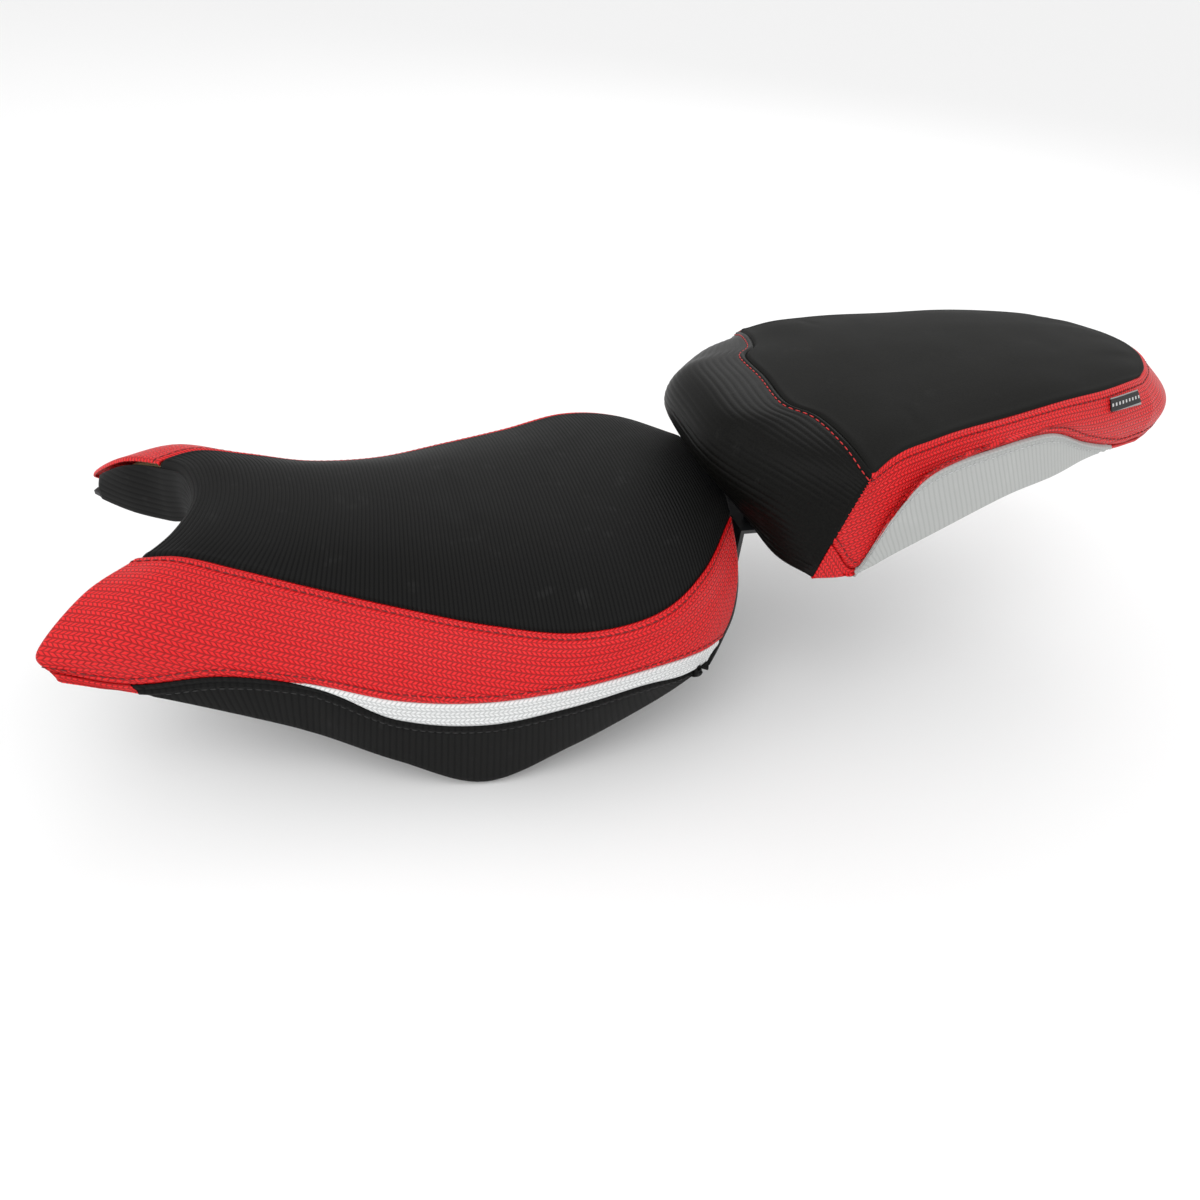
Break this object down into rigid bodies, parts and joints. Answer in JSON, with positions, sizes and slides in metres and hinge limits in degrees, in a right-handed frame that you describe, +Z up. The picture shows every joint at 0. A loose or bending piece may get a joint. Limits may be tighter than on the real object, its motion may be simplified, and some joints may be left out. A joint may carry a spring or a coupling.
{
  "type": "motorcycle seat",
  "caption": "Sport motorcycle seat in two pieces: a rider seat with horns that wrap the tank, and a raised pillion seat that lifts off behind it.",
  "frame": {"origin": "midway between the two rear fixing collars of the rider seat, on their lower faces", "axes": "+X to the rear of the motorcycle, +Y to its right, +Z up"},
  "size_m": [0.8116, 0.3088, 0.2391],
  "materials": {
    "shell_plastic": "moulded polypropylene, fine grain",
    "foam": "moulded polyurethane foam with a thin skin",
    "black_vinyl": "matte ribbed grip vinyl",
    "charcoal_vinyl": "smooth matte vinyl",
    "red_carbon_vinyl": "satin vinyl embossed with a woven carbon pattern",
    "white_vinyl": "satin white vinyl",
    "label_cloth": "woven edge tag, no lettering",
    "staple_steel": "bright wire",
    "black_steel": "black powder coat",
    "zinc_steel": "bright zinc plate",
    "rubber": "moulded rubber"
  },
  "bodies": {
    "rider_seat": {"rider_base_pan": "shell_plastic", "rider_foam": "foam", "rider_top_panel": "black_vinyl", "rider_notch_panel": "black_vinyl", "rider_side_left": "red_carbon_vinyl", "rider_side_right": "red_carbon_vinyl", "rider_tips": "red_carbon_vinyl", "rider_stripe_left": "white_vinyl", "rider_stripe_right": "white_vinyl", "rider_flank_left": "black_vinyl", "rider_flank_right": "black_vinyl", "rider_rear_panel": "black_vinyl", "rider_hem": "black_vinyl", "rider_staples": "staple_steel", "rider_tongue": "black_steel", "rider_tongue_rivets": "zinc_steel", "rider_bracket": "black_steel", "rider_bracket_rivets": "zinc_steel", "rider_grommets": "rubber", "rider_collars": "zinc_steel", "rider_buffers": "rubber"},
    "pillion_seat": {"pillion_base_pan": "shell_plastic", "pillion_foam": "foam", "pillion_top_panel": "charcoal_vinyl", "pillion_front_panel": "black_vinyl", "pillion_band": "red_carbon_vinyl", "pillion_nose_corners": "red_carbon_vinyl", "pillion_tail_panel": "red_carbon_vinyl", "pillion_side_left": "white_vinyl", "pillion_side_right": "white_vinyl", "pillion_label": "label_cloth", "pillion_hem": "black_vinyl", "pillion_staples": "staple_steel", "pillion_striker": "zinc_steel", "pillion_striker_plate": "black_steel", "pillion_striker_nuts": "zinc_steel", "pillion_prongs": "black_steel", "pillion_prong_rivets": "zinc_steel", "pillion_buffers": "rubber"}
  },
  "joints": [
    {"name": "pillion_lift", "type": "hinge", "parent": "rider_seat", "child": "pillion_seat", "pos_m": [0.298, 0, 0.0662], "axis": [0, 1, 0], "range_deg": [0, 25]}
  ]
}
